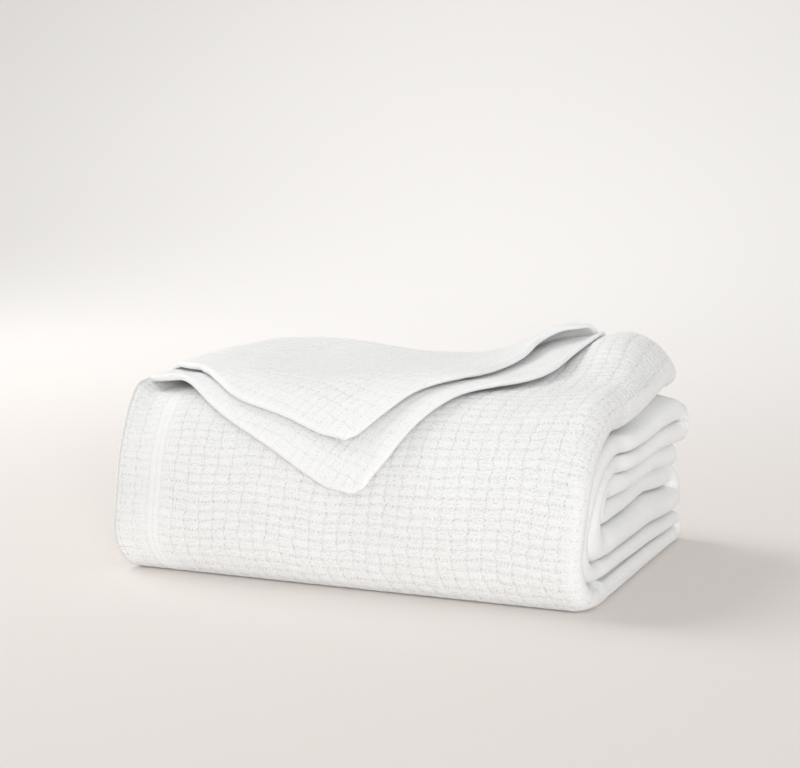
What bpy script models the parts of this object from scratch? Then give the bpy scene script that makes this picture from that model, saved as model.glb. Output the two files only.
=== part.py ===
"""A thick white cotton blanket, folded in four across its width and in eight along its
length into a soft bundle, with its last end brought round the back and its corner laid
over the top and front. It is one piece of cloth, so it is one closed solid.

Metres, +Z up. X runs along the bundle, from its hems at the left to its folds at the
right, the front faces -Y, and the bundle rests on Z = 0.
"""

import math
from collections import namedtuple

import bmesh
import bpy
import numpy as np

NAME = "blanket"

# The bundle before it settles
LEFT = -0.189
RIGHT = 0.189
FRONT = -0.140
BACK = 0.118

# The cloth
PLY = 0.0060
PLY_GAP = 0.0006
BAND_GAP = 0.0014
FLAP_PLY = 0.0062
FLAP_GAP = 0.0020
HIDDEN_PLY = 0.0042

# How finely the cloth is divided
COLUMNS = (-0.125, -0.045, 0.035, 0.095, 0.145)
OUTER_FOLD_STEPS = 4
INNER_FOLD_STEPS = 3
RUN_PLACES = (0.010, 0.060)
OVER_STEPS = 5
UNDER_STEPS = 3
TURN_STEPS = 3
SNAP = 0.006
WELD = 0.00001

# The eight bands of four plies each, from the top down. rise is a band's height in the
# stack, and the other columns say how far its ends stand out past RIGHT and LEFT.
Band = namedtuple("Band", "name rise right_front right_back left_front left_back")
BANDS = (
    Band("one", 0.0370, -0.007, -0.003, -0.007, -0.004),
    Band("two", 0.0155, -0.006, 0.008, -0.002, -0.005),
    Band("three", 0.0145, -0.007, 0.010, -0.007, -0.001),
    Band("four", 0.0165, -0.010, 0.006, -0.003, -0.006),
    Band("five", 0.0175, -0.010, -0.004, -0.006, -0.004),
    Band("six", 0.0215, -0.004, 0.004, -0.006, -0.006),
    Band("seven", 0.0130, -0.004, 0.003, -0.014, -0.010),
    Band("eight", 0.0155, 0.002, 0.003, -0.020, -0.012),
)

# The lines between the folds at the front, from the outside in. over is the band under
# which a line starts at its top, under the band on which it ends. front is how far behind
# FRONT it passes, belly the height of its foremost point, and the reaches are how far
# back its upper and lower parts curve.
Line = namedtuple("Line", "over under front belly upper_reach lower_reach")
LINES = (
    Line(None, None, 0.0000, 0.0400, 0.0895, 0.0140),
    Line("one", "eight", 0.0150, 0.0460, 0.0720, 0.0290),
    Line("two", "seven", 0.0310, 0.0570, 0.0520, 0.0260),
    Line("three", "six", 0.0490, 0.0705, 0.0300, 0.0160),
    Line("four", "five", 0.0630, 0.0710, 0.0010, 0.0010),
)
Nose = namedtuple("Nose", "upper lower left_middle right_middle")
NOSES = {
    "A": Nose("one", "eight", -0.004, -0.005),
    "B": Nose("two", "seven", -0.004, -0.008),
    "C": Nose("three", "six", -0.002, -0.006),
    "D": Nose("four", "five", -0.004, -0.010),
}

# How far the folds at the back stop short of BACK
TURN_SHORT = {"eight": -0.010, "two": 0.0, "six": -0.012}
NOSE_CLEAR = 0.010
FIRST_END = 0.006
LAST_END = 0.030

# The flap's two plies: how far each hangs below the front line, and where its edges run.
# left and right are the ends of a row that lies this far above the ply's corner. The
# corner is square, and the edges bend where the cloth arches over the left shoulder.
FlapRow = namedtuple("FlapRow", "above left right")
DROPS = {"lower": 0.121, "upper": 0.078}
EDGES = {
    "lower": (
        FlapRow(0.0006, 0.004, 0.016),
        FlapRow(0.004, -0.007, 0.019),
        FlapRow(0.012, -0.024, 0.024),
        FlapRow(0.030, -0.057, 0.035),
        FlapRow(0.050, -0.085, 0.045),
        FlapRow(0.075, -0.114, 0.058),
        FlapRow(0.100, -0.133, 0.072),
        FlapRow(0.118, -0.154, 0.086),
        FlapRow(0.136, -0.186, 0.098),
        FlapRow(0.160, -0.188, 0.110),
        FlapRow(0.210, -0.188, 0.121),
        FlapRow(0.270, -0.187, 0.127),
        FlapRow(0.310, -0.187, 0.127),
    ),
    "upper": (
        FlapRow(0.0006, -0.004, 0.006),
        FlapRow(0.004, -0.020, 0.010),
        FlapRow(0.012, -0.044, 0.017),
        FlapRow(0.030, -0.078, 0.029),
        FlapRow(0.050, -0.098, 0.040),
        FlapRow(0.070, -0.117, 0.058),
        FlapRow(0.090, -0.135, 0.068),
        FlapRow(0.110, -0.160, 0.072),
        FlapRow(0.132, -0.187, 0.077),
        FlapRow(0.160, -0.188, 0.084),
        FlapRow(0.200, -0.188, 0.091),
        FlapRow(0.240, -0.187, 0.107),
        FlapRow(0.270, -0.187, 0.109),
    ),
}
WRAP_CORE = (0.097, 0.1010)
WRAP_SIDE = 0.1245
TOP_CORE = (0.106, 0.1360)

# How the bundle has settled, by place along X: how much of the stack's height is gained
# or lost at the front and back, and how far the round upper front is pushed back
Settle = namedtuple("Settle", "x front back shoulder")
SETTLED = (
    Settle(-0.200, -0.115, -0.14, -0.048),
    Settle(-0.140, -0.11, -0.10, -0.036),
    Settle(-0.080, -0.12, -0.12, -0.020),
    Settle(-0.015, -0.12, -0.15, -0.004),
    Settle(0.050, -0.10, -0.09, 0.010),
    Settle(0.110, -0.07, 0.03, 0.016),
    Settle(0.155, -0.05, 0.12, 0.024),
    Settle(0.200, -0.06, 0.09, 0.030),
)

# The top is lowest at DIP and rises to a crest at CREST. At the back of the right end the
# layers sag by SAG, and the top band's end droops by DROOP.
DIP = -0.040
CREST = 0.100
SAG = 0.010
DROOP = 0.013

WHITE = (0.83, 0.83, 0.81, 1.0)

Station = namedtuple("Station", "y z ny nz thick right left")


def mix(a, b, share):
    return a + (b - a) * share


def ease(share):
    share = np.clip(share, 0.0, 1.0)
    return share * share * (3.0 - 2.0 * share)


def stacked():
    """Each band with the height of its middle and its thickness."""
    placed = {}
    floor = 0.0
    for band in reversed(BANDS):
        thick = band.rise - BAND_GAP
        placed[band.name] = (band, floor + thick / 2, thick)
        floor += band.rise
    return placed, floor


STACK, STACK_TOP = stacked()


def run(name, start, end):
    """A band lying flat, from y = start to y = end."""
    band, middle, thick = STACK[name]
    up = 1.0 if end < start else -1.0
    made = []
    for y in sorted((start, *RUN_PLACES, end), reverse=end < start):
        back = (y - FRONT) / (BACK - FRONT)
        right = RIGHT + mix(band.right_front, band.right_back, back)
        left = LEFT - mix(band.left_front, band.left_back, back)
        made.append(Station(y, middle, 0.0, up, thick, right, left))
    return made


def line_point(index, turn):
    """A point of a line between folds: turn is 90 degrees at its top, -90 at its foot."""
    line = LINES[index]
    top = STACK_TOP - BAND_GAP / 2
    foot = 0.0
    if line.over:
        top = STACK[line.over][1] - STACK[line.over][2] / 2 - BAND_GAP / 2
        foot = STACK[line.under][1] + STACK[line.under][2] / 2 + BAND_GAP / 2
    belly = min(max(line.belly, foot), top)
    reach = line.upper_reach if turn > 0 else line.lower_reach
    height = top - belly if turn > 0 else belly - foot
    y = FRONT + line.front + reach * (1 - math.cos(turn))
    return y, belly + height * math.sin(turn)


def nose(key, going_down):
    """The fold at the front that joins two bands, between two of the lines above."""
    upper, lower = STACK[NOSES[key].upper][0], STACK[NOSES[key].lower][0]
    index = "ABCD".index(key)
    side = 1.0 if going_down else -1.0
    turns = [1 - i / OVER_STEPS for i in range(OVER_STEPS)]
    turns += [-i / UNDER_STEPS for i in range(UNDER_STEPS + 1)]
    made = []
    for turn in turns:
        outer = line_point(index, math.pi / 2 * turn)
        inner = line_point(index + 1, math.pi / 2 * turn)
        apart = math.dist(outer, inner)
        band = upper if turn > 0 else lower
        made.append(
            Station(
                (outer[0] + inner[0]) / 2,
                (outer[1] + inner[1]) / 2,
                side * (outer[0] - inner[0]) / apart,
                side * (outer[1] - inner[1]) / apart,
                apart - BAND_GAP,
                RIGHT + mix(band.right_front, NOSES[key].right_middle, 1 - abs(turn)),
                LEFT - mix(band.left_front, NOSES[key].left_middle, math.cos(turn * math.pi / 2)),
            )
        )
    return made if going_down else made[::-1]


def turn_back(start, end, going_up):
    """The fold at the back from one band to its neighbour, round the gap between them."""
    first, first_middle, first_thick = STACK[start]
    last, last_middle, last_thick = STACK[end]
    gap = (first_middle + last_middle + (first_thick - last_thick) / 2 * (1 if going_up else -1)) / 2
    centre = back_of(start)
    side = 1.0 if going_up else -1.0
    made = []
    for i in range(1, TURN_STEPS):
        share = i / TURN_STEPS
        angle = side * math.pi * (share - 0.5)
        thick = mix(first_thick, last_thick, share)
        radius = (thick + BAND_GAP) / 2
        made.append(
            Station(
                centre + radius * math.cos(angle),
                gap + radius * math.sin(angle),
                side * math.cos(angle),
                side * math.sin(angle),
                thick,
                RIGHT + mix(first.right_back, last.right_back, share),
                LEFT - mix(first.left_back, last.left_back, share),
            )
        )
    return made


def back_of(name):
    """Where the fold at the back of this band and the next has its centre."""
    return BACK - 0.020 - TURN_SHORT[name]


def nose_start(name):
    """Where the flat part of this band begins, behind its fold at the front."""
    place = [band.name for band in BANDS].index(name)
    index = min(place, 7 - place)
    ends = [line.front + (line.upper_reach if place < 4 else line.lower_reach) for line in LINES]
    return FRONT + max(ends[index : index + 2]) + NOSE_CLEAR


def route():
    """The strip of four plies, from its end in the top band to its end in band four."""
    return (
        run("one", BACK - FIRST_END, nose_start("one"))
        + nose("A", True)
        + run("eight", nose_start("eight"), back_of("eight"))
        + turn_back("eight", "seven", True)
        + run("seven", back_of("eight"), nose_start("seven"))
        + nose("B", False)
        + run("two", nose_start("two"), back_of("two"))
        + turn_back("two", "three", False)
        + run("three", back_of("two"), nose_start("three"))
        + nose("C", True)
        + run("six", nose_start("six"), back_of("six"))
        + turn_back("six", "five", True)
        + run("five", back_of("six"), nose_start("five"))
        + nose("D", False)
        + run("four", nose_start("four"), BACK - LAST_END)
    )


def arc(centre_x, centre_n, radius, start, end, steps, side):
    """Points inside an arc of the section, with the way that faces the cloth's outside."""
    made = []
    for i in range(1, steps):
        angle = mix(start, end, i / steps)
        x, n = math.cos(angle), math.sin(angle)
        made.append((centre_x + radius * x, centre_n + radius * n, side * x, side * n))
    return made


def section(thick, right, left):
    """The four plies of a band seen from its front: each point's x, its height in the
    band, and the direction of the cloth's outside there. Also the plies' thickness."""
    ply = min(PLY, (thick - 3 * PLY_GAP) / 4)
    gap = (thick - 4 * ply) / 3
    outer = (thick - ply) / 2
    inner = (ply + gap) / 2
    bend = right - thick / 2
    hem = left + 0.002
    fold = left + inner + ply / 2
    quarter = math.pi / 2
    points = [(x, outer, 0.0, 1.0) for x in (hem, *COLUMNS, bend)]
    points += arc(bend, 0.0, outer, quarter, -quarter, OUTER_FOLD_STEPS, 1.0)
    points += [(x, -outer, 0.0, -1.0) for x in (bend, *COLUMNS[::-1], fold)]
    points += arc(
        fold, -(outer + inner) / 2, (outer - inner) / 2, -quarter, -3 * quarter, INNER_FOLD_STEPS, 1.0
    )
    points += [(x, -inner, 0.0, 1.0) for x in (fold, *COLUMNS, bend)]
    points += arc(bend, 0.0, inner, -quarter, quarter, INNER_FOLD_STEPS, -1.0)
    points += [(x, inner, 0.0, -1.0) for x in (bend, *COLUMNS[::-1], left)]
    return np.array(points), ply


def strip_points():
    """The two faces of the strip, as grids of points: stations by places in the section."""
    faces = ([], [])
    for at in route():
        points, ply = section(at.thick, at.right, at.left)
        for face, side in zip(faces, (1.0, -1.0)):
            x = points[:, 0] + side * ply / 2 * points[:, 2]
            n = points[:, 1] + side * ply / 2 * points[:, 3]
            face.append(np.stack([x, at.y + at.ny * n, at.z + at.nz * n], axis=1))
    return np.array(faces[0]), np.array(faces[1])


def wrap_route():
    """The line that the flap's lower ply follows: out of band four at the back, up round
    the bands above it, forward over the top, and down over the front."""
    four, middle, thick = STACK["four"]
    inside = middle + thick / 4
    core_y, core_z = WRAP_CORE
    over_y, over_z = TOP_CORE
    top = STACK_TOP + FLAP_GAP + FLAP_PLY / 2
    line = [(mix(BACK - LAST_END - 0.012, core_y, s), inside, 0.0, -1.0) for s in (0.0, 0.5)]
    for i in range(5):
        angle = math.pi / 2 * (i / 4 - 1)
        radius = mix(core_z - inside, WRAP_SIDE - core_y, i / 4)
        y, z = math.cos(angle), math.sin(angle)
        line.append((core_y + radius * y, core_z + radius * z, y, z))
    line.append((WRAP_SIDE, mix(core_z, over_z, 0.5), 1.0, 0.0))
    for i in range(5):
        angle = math.pi / 2 * i / 4
        y, z = math.cos(angle), math.sin(angle)
        line.append((over_y + (WRAP_SIDE - over_y) * y, over_z + (top - over_z) * z, y, z))
    start = line_point(0, math.pi / 2)[0]
    line += [(mix(over_y, start, s), top, 0.0, 1.0) for s in (0.25, 0.5, 0.75, 1.0)]
    for i in range(1, OVER_STEPS + 1):
        turn = math.pi / 2 * (1 - i / OVER_STEPS)
        y, z = line_point(0, turn)
        ny = -math.cos(turn) * (STACK_TOP - LINES[0].belly)
        nz = math.sin(turn) * LINES[0].upper_reach
        size = math.hypot(ny, nz)
        away = FLAP_GAP + FLAP_PLY / 2
        line.append((y + ny / size * away, z + nz / size * away, ny / size, nz / size))
    return np.array(line)


def along(line):
    """The length of a line up to each of its points."""
    steps = np.linalg.norm(np.diff(line[:, :2], axis=0), axis=1)
    return np.concatenate([[0.0], np.cumsum(steps)])


def curve_through(x, places, values):
    """A smooth curve through a table's values, level beyond its ends."""
    places, values = np.array(places), np.array(values)
    slopes = np.gradient(values, places)
    slopes[0] = slopes[-1] = 0.0
    x = np.clip(x, places[0], places[-1])
    i = np.clip(np.searchsorted(places, x) - 1, 0, len(places) - 2)
    wide = places[i + 1] - places[i]
    t = (x - places[i]) / wide
    start = values[i] * (1 + 2 * t) * (1 - t) ** 2 + slopes[i] * wide * t * (1 - t) ** 2
    end = values[i + 1] * t * t * (3 - 2 * t) + slopes[i + 1] * wide * t * t * (t - 1)
    return start + end


def flap_lift(x, y, upper):
    """How far the flap stands off what is under it: it bridges the left shoulder, and the
    upper ply curls up where its right edge crosses the back."""
    bridge = 0.009 * np.exp(-(((x + 0.150) / 0.040) ** 2) - ((y + 0.080) / 0.035) ** 2)
    curl = 0.007 * np.exp(-(((x - 0.105) / 0.040) ** 2) - ((y - 0.085) / 0.045) ** 2)
    return bridge * 1.3 + curl if upper else bridge


def flap_points(ply):
    """The closed rounded sections of one ply of the flap, a row for each place along it."""
    line = wrap_route()
    upper = ply == "upper"
    edges = EDGES[ply]
    lengths = along(line)
    tip = lengths[-1 - OVER_STEPS] + DROPS[ply]
    places = [place for place in lengths if place < tip - 0.012]
    rows = []
    for place in places + [tip - 0.012, tip - 0.004, tip - 0.0006]:
        y, z, ny, nz = (float(np.interp(place, lengths, line[:, i])) for i in range(4))
        size = math.hypot(ny, nz)
        left, right = (
            float(curve_through(tip - place, [row.above for row in edges], ends))
            for ends in ([row.left for row in edges], [row.right for row in edges])
        )
        x = np.array([left, *COLUMNS, right])
        x[x - left < SNAP] = left
        x[right - x < SNAP] = right
        hidden = ease((line[:, 0].max() - y) / 0.02) * (z < STACK["three"][1])
        thick = mix(FLAP_PLY, HIDDEN_PLY, hidden)
        grid = np.array([LEFT, *COLUMNS, RIGHT])
        lift = np.interp(x, grid, flap_lift(grid, y, upper)) * (nz > 0.2)
        if upper:
            lift = lift + mix(FLAP_PLY + FLAP_GAP, STACK["four"][2] / 2, hidden)
        bulge = thick * 0.45
        ring_x = np.concatenate([x, [right + bulge], x[::-1], [left - bulge]])
        ring_n = np.concatenate([lift + thick / 2, lift[-1:], lift[::-1] - thick / 2, lift[:1]])
        rows.append(np.stack([ring_x, y + ny / size * ring_n, z + nz / size * ring_n], axis=1))
    return np.array(rows)


def settle(points):
    """Moves points of the squared-up stack to where the soft bundle has settled."""
    x, y, z = points[..., 0], points[..., 1], points[..., 2]
    places = [row.x for row in SETTLED]
    front = curve_through(x, places, [row.front for row in SETTLED])
    back = curve_through(x, places, [row.back for row in SETTLED])
    shoulder = curve_through(x, places, [row.shoulder for row in SETTLED])
    reach = LINES[0].upper_reach
    rising = np.clip((y - FRONT) / reach, 0.0, 1.0)
    fading = np.clip((BACK - y) / (BACK - FRONT - reach), 0.0, 1.0)
    high = ease((z - 0.030) / 0.050)
    moved_y = y + shoulder * rising * fading * high
    moved_z = z * (1 + mix(front, back, ease((y - DIP) / (CREST - DIP))))
    sag = SAG * ease((x - 0.10) / 0.08) * ease((y - 0.02) / 0.08) * np.clip(z / 0.050, 0.0, 1.0)
    moved_z = moved_z - sag * np.clip((0.160 - z) / 0.100, 0.0, 1.0)
    # The top band's right end droops
    droop = ease((x - 0.148) / 0.044) * ease((z - 0.112) / 0.040) * ease((y + 0.020) / 0.080)
    moved_z = moved_z - DROOP * droop
    return np.stack([x, moved_y, moved_z], axis=-1)


def new_object(name, verts, faces):
    mesh = bpy.data.meshes.new(name)
    mesh.from_pydata([tuple(map(float, v)) for v in verts], [], faces)
    shape = bmesh.new()
    shape.from_mesh(mesh)
    bmesh.ops.remove_doubles(shape, verts=shape.verts[:], dist=WELD)
    bmesh.ops.dissolve_degenerate(shape, edges=shape.edges[:], dist=WELD)
    bmesh.ops.recalc_face_normals(shape, faces=shape.faces[:])
    shape.to_mesh(mesh)
    shape.free()
    obj = bpy.data.objects.new(name, mesh)
    return obj


def halves(a, b, c, d, rising):
    """The two triangles of a quad, parted along its diagonal from a to c or from b to d."""
    return [(a, b, c), (a, c, d)] if rising else [(a, b, d), (b, c, d)]


def round_the_middle(at):
    """How far round the middle of the stack a station lies. With it, layers that lie on
    one another are parted along matching diagonals, so they keep clear of each other.
    Only the underside of the last band meets one that was turned the other way."""
    middle = STACK["five"][1] + STACK["five"][2] / 2
    return math.atan2(at.z - middle, at.y - WRAP_CORE[0]) % (2 * math.pi)


def strip_object(origin):
    """The folded strip: two faces of the cloth, joined along its hems and ends."""
    outer, inner = strip_points()
    turned = [round_the_middle(at) for at in route()]
    rows, columns = outer.shape[:2]
    verts = settle(np.concatenate([outer.reshape(-1, 3), inner.reshape(-1, 3)])) - origin
    under = rows * columns
    faces = []
    for i in range(rows - 1):
        for j in range(columns - 1):
            a = i * columns + j
            b = a + columns
            rising = (turned[i + 1] > turned[i]) == (outer[i, j + 1, 0] > outer[i, j, 0])
            last_underside = i >= rows - 2 - len(RUN_PLACES) and j <= len(COLUMNS)
            faces += halves(a, a + 1, b + 1, b, rising != last_underside)
            faces += [face[::-1] for face in halves(under + a, under + a + 1, under + b + 1, under + b, rising)]
        for j in (0, columns - 1):
            a = i * columns + j
            b = a + columns
            faces.append((a, b, under + b, under + a))
    for i in (0, rows - 1):
        for j in range(columns - 1):
            a = i * columns + j
            faces.append((a, a + 1, under + a + 1, under + a))
    return new_object("strip", verts, faces)


def flap_object(ply, origin):
    """One ply of the flap, as a loft of its rounded rows."""
    rows = settle(flap_points(ply)) - origin
    count, ring = rows.shape[:2]
    faces = []
    for i in range(count - 1):
        for j in range(ring):
            a, b = i * ring + j, i * ring + (j + 1) % ring
            faces += halves(a, b, b + ring, a + ring, j < ring // 2)
    half = ring // 2 - 1
    for i in (0, count - 1):
        base = i * ring
        for j in range(half - 1):
            faces.append((base + j, base + j + 1, base + 2 * half - 1 - j, base + 2 * half - j))
        faces.append((base + half - 1, base + half, base + half + 1))
        faces.append((base, base + ring - 1, base + ring - 2))
    return new_object("flap_" + ply, rows.reshape(-1, 3), faces)


def bottom_centre():
    """The middle of the settled bundle's footprint, on the plane that it rests on."""
    points = [settle(face).reshape(-1, 3) for face in strip_points()]
    points += [settle(flap_points(ply)).reshape(-1, 3) for ply in DROPS]
    low = np.concatenate(points).min(axis=0)
    high = np.concatenate(points).max(axis=0)
    return np.array([(low[0] + high[0]) / 2, (low[1] + high[1]) / 2, low[2]])


def cotton():
    material = bpy.data.materials.new("white_cotton")
    material.use_nodes = True
    shader = material.node_tree.nodes["Principled BSDF"]
    shader.inputs["Base Color"].default_value = WHITE
    shader.inputs["Roughness"].default_value = 0.9
    shader.inputs["Metallic"].default_value = 0.0
    return material


def main():
    for obj in list(bpy.data.objects):
        bpy.data.objects.remove(obj, do_unlink=True)
    parts = bpy.data.collections.new(NAME)
    cutters = bpy.data.collections.new("cutters")
    bpy.context.scene.collection.children.link(parts)
    bpy.context.scene.collection.children.link(cutters)
    origin = bottom_centre()
    blanket = strip_object(origin)
    blanket.name = NAME
    parts.objects.link(blanket)
    blanket.data.materials.append(cotton())
    for ply in DROPS:
        flap = flap_object(ply, origin)
        cutters.objects.link(flap)
        flap.hide_render = True
        flap.display_type = "WIRE"
        join = blanket.modifiers.new("join_" + ply, "BOOLEAN")
        join.operation = "UNION"
        join.object = flap
        join.solver = "EXACT"


main()
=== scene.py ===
"""Dresses the folded crochet blanket: the cloth is rebuilt as fine sheets on the folds of
the solid that they replace, with its crocheted cells in relief on the plies that show.

Metres, +Z up, in the solid's own frame. X runs along the bundle from its hems to its
folds, and the front faces -Y.
"""

import math
from collections import namedtuple

import bmesh
import bpy
import numpy as np
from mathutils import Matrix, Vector


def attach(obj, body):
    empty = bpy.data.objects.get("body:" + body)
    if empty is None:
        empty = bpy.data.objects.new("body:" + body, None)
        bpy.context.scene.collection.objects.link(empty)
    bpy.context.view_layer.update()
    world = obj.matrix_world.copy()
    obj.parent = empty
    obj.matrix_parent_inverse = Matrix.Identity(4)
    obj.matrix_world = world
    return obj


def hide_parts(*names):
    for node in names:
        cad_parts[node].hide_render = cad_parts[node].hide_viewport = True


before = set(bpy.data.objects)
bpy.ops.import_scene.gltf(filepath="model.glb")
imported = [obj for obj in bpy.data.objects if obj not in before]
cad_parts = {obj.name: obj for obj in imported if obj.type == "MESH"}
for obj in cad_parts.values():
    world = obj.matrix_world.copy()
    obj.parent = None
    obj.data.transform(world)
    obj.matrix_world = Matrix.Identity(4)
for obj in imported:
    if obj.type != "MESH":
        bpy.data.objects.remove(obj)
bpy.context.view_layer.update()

# ---- The bundle's sizes, as the solid has them ----
# The squared-up stack's sides, and the middle of the settled bundle's foot
LEFT = -0.189
RIGHT = 0.189
FRONT = -0.140
BACK = 0.118
CENTRE = np.array([0.00367, -0.00144, 0.0])
# The cloth: its plies are thinner where a band leaves them less room
PLY = 0.0040
PLY_GAP = 0.0006
BAND_GAP = 0.0014
PLY_WIDE = 0.37
HEM_IN = 0.0004
# The flap: its plies, thinner inside the stack, and the two bends of its way up the back
FLAP_PLY = 0.0062
FLAP_GAP = 0.0020
HIDDEN_PLY = 0.0042
FLAP_WIDE = 0.33
WRAP_CORE = (0.097, 0.1010)
WRAP_SIDE = 0.1245
TOP_CORE = (0.106, 0.1360)
# How far from the back, or from a fold at the front, the straight runs of the bands end
NOSE_CLEAR = 0.010
FIRST_END = 0.006
LAST_END = 0.030
TURN_ROOM = 0.020
# The front panel ends under the bundle, where the other layers overlap its end a little
SEAM = 0.100
SEAM_LAP = 0.0004

# From the top down: each band's height with its gap, and how far its right and left ends
# stand out at the front and at the back
Band = namedtuple("Band", "name rise right_front right_back left_front left_back")
BANDS = (
    Band("one", 0.0370, -0.007, -0.003, -0.007, -0.004),
    Band("two", 0.0155, -0.006, 0.008, -0.002, -0.005),
    Band("three", 0.0145, -0.007, 0.010, -0.007, -0.001),
    Band("four", 0.0165, -0.010, 0.006, -0.003, -0.006),
    Band("five", 0.0175, -0.010, -0.004, -0.006, -0.004),
    Band("six", 0.0215, -0.004, 0.004, -0.006, -0.006),
    Band("seven", 0.0130, -0.004, 0.003, -0.014, -0.010),
    Band("eight", 0.0155, 0.002, 0.003, -0.020, -0.012),
)
# The lines between bands round the front, from the outside in: the bands over and under
# one, how far behind FRONT it starts, the height where it does, and its reach back from
# there, at the top and at the foot
Line = namedtuple("Line", "over under front belly upper_reach lower_reach")
LINES = (
    Line(None, None, 0.0000, 0.0400, 0.0895, 0.0140),
    Line("one", "eight", 0.0150, 0.0460, 0.0720, 0.0290),
    Line("two", "seven", 0.0310, 0.0570, 0.0520, 0.0260),
    Line("three", "six", 0.0490, 0.0705, 0.0300, 0.0160),
    Line("four", "five", 0.0630, 0.0710, 0.0010, 0.0010),
)
# The four folds between those lines, and how far their ends stand out midway
Nose = namedtuple("Nose", "upper lower left_middle right_middle")
NOSES = {
    "A": Nose("one", "eight", -0.004, -0.005),
    "B": Nose("two", "seven", -0.004, -0.008),
    "C": Nose("three", "six", -0.002, -0.006),
    "D": Nose("four", "five", -0.004, -0.010),
}
# How much further forward a pair of bands turns at the back
TURN_SHORT = {"eight": -0.010, "two": 0.0, "six": -0.012}

# How the stack settles along its length: the share of its height that it gains at the
# front and at the back, and how far its top moves back
Settle = namedtuple("Settle", "x front back shoulder")
SETTLED = (
    Settle(-0.200, -0.115, -0.14, -0.048),
    Settle(-0.140, -0.11, -0.10, -0.036),
    Settle(-0.080, -0.12, -0.12, -0.020),
    Settle(-0.015, -0.12, -0.15, -0.004),
    Settle(0.050, -0.10, -0.09, 0.010),
    Settle(0.110, -0.07, 0.03, 0.016),
    Settle(0.155, -0.05, 0.12, 0.024),
    Settle(0.200, -0.06, 0.09, 0.030),
)
# It settles as at the front up to DIP, and as at the back from CREST on. At the back of
# the right end its layers sag, and the top band's end droops.
DIP = -0.040
CREST = 0.100
SAG = 0.010
DROOP = 0.013

# Small swells that only these sheets have: a crest at the right with a valley before it,
# and on the flap a bridge at the left, a curl and a low place at the right
Swell = namedtuple("Swell", "height x wide_x y wide_y")
RIGHT_CREST = Swell(0.0035, 0.137, 0.020, 0.080, 0.060)
VALLEY = Swell(0.0040, 0.140, 0.028, 0.015, 0.035)
BRIDGE = Swell(0.0120, -0.160, 0.030, -0.085, 0.036)
CURL = Swell(0.0050, 0.098, 0.040, 0.080, 0.045)
LOW = Swell(0.0048, 0.122, 0.022, 0.085, 0.045)
# The same at the left end, where x alone says where they begin
LeftSwell = namedtuple("LeftSwell", "height y wide_y begins over")
SHOULDER = LeftSwell(0.0100, -0.050, 0.037, -0.168, 0.016)
FLAP_SHOULDER = LeftSwell(0.0030, -0.040, 0.060, -0.168, 0.016)
ROUNDING = LeftSwell(0.0060, -0.098, 0.040, -0.125, 0.045)
# The slow waves of a soft stack, in each direction that it moves
Wave = namedtuple("Wave", "size by_x by_y by_z phase")
WAVES = (
    (Wave(0.0012, 0, 21, 47, 0.9),),
    (Wave(0.0014, 31, 0, 18, 0.6), Wave(0.0010, 57, 0, -33, 2.1)),
    (Wave(0.0011, 38, 24, 0, 1.1), Wave(0.0008, 66, -41, 0, 0.2)),
)

# How far each ply of the flap hangs down the front, and its two edges above its tip
FlapRow = namedtuple("FlapRow", "above left right")
DROPS = {"lower": 0.121, "upper": 0.078}
EDGES = {
    "lower": (
        FlapRow(0.0000, 0.007, 0.013),
        FlapRow(0.004, -0.007, 0.019),
        FlapRow(0.012, -0.024, 0.024),
        FlapRow(0.030, -0.057, 0.035),
        FlapRow(0.050, -0.085, 0.045),
        FlapRow(0.075, -0.114, 0.058),
        FlapRow(0.100, -0.139, 0.072),
        FlapRow(0.118, -0.161, 0.086),
        FlapRow(0.128, -0.176, 0.093),
        FlapRow(0.138, -0.184, 0.098),
        FlapRow(0.160, -0.188, 0.110),
        FlapRow(0.210, -0.189, 0.121),
        FlapRow(0.270, -0.187, 0.127),
        FlapRow(0.310, -0.187, 0.127),
    ),
    "upper": (
        FlapRow(0.0000, -0.001, 0.003),
        FlapRow(0.004, -0.020, 0.010),
        FlapRow(0.012, -0.044, 0.017),
        FlapRow(0.030, -0.087, 0.029),
        FlapRow(0.050, -0.111, 0.040),
        FlapRow(0.070, -0.129, 0.058),
        FlapRow(0.090, -0.145, 0.068),
        FlapRow(0.106, -0.163, 0.071),
        FlapRow(0.116, -0.178, 0.073),
        FlapRow(0.127, -0.187, 0.075),
        FlapRow(0.160, -0.190, 0.084),
        FlapRow(0.200, -0.189, 0.091),
        FlapRow(0.225, -0.187, 0.108),
        FlapRow(0.250, -0.187, 0.118),
        FlapRow(0.280, -0.187, 0.120),
    ),
}

# ---- The crochet ----
CELL_WIDE = 0.0112
CELL_HIGH = 0.0079
RELIEF = 0.0006
HIDDEN_CRISP = 0.22
# The rib beside the hem: where it starts, its two cords, its middle, and the dotted lines of
# painted shade in its grooves, with their half widths
RIB_AT = 0.0325
RIB_CORDS = (0.0028, 0.0080)
RIB_MIDDLE = 0.0053
RIB_GROOVE_SHADE = ((0.0, 0.0008), (0.0055, 0.0009), (0.0105, 0.0008))
# The angle of the flap's rows of cells
ARM = math.radians(25)

# ---- The meshes' steps ----
FINE = 0.0014
COARSE = 0.0053
FLAP_STEPS = {"lower": 0.0018, "upper": 0.0015}
HIDDEN_STEP = 0.0105
HIDDEN_TURN = 0.17
RIM = np.array([0.0, 0.0003, 0.0009, 0.0018, 0.0029])
TIP_RIM = np.array([0.0055, 0.0044, 0.0033, 0.0022, 0.0012, 0.0005, 0.0])
# The front panel has fine rows from the flap's edge to a little way under the bundle
SHOWN_FROM = 0.096
SHOWN_TO = 0.415
# Edges that bend more than this, in radians, are shaded sharp: the sheets' rims
SHARP = 1.0

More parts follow.
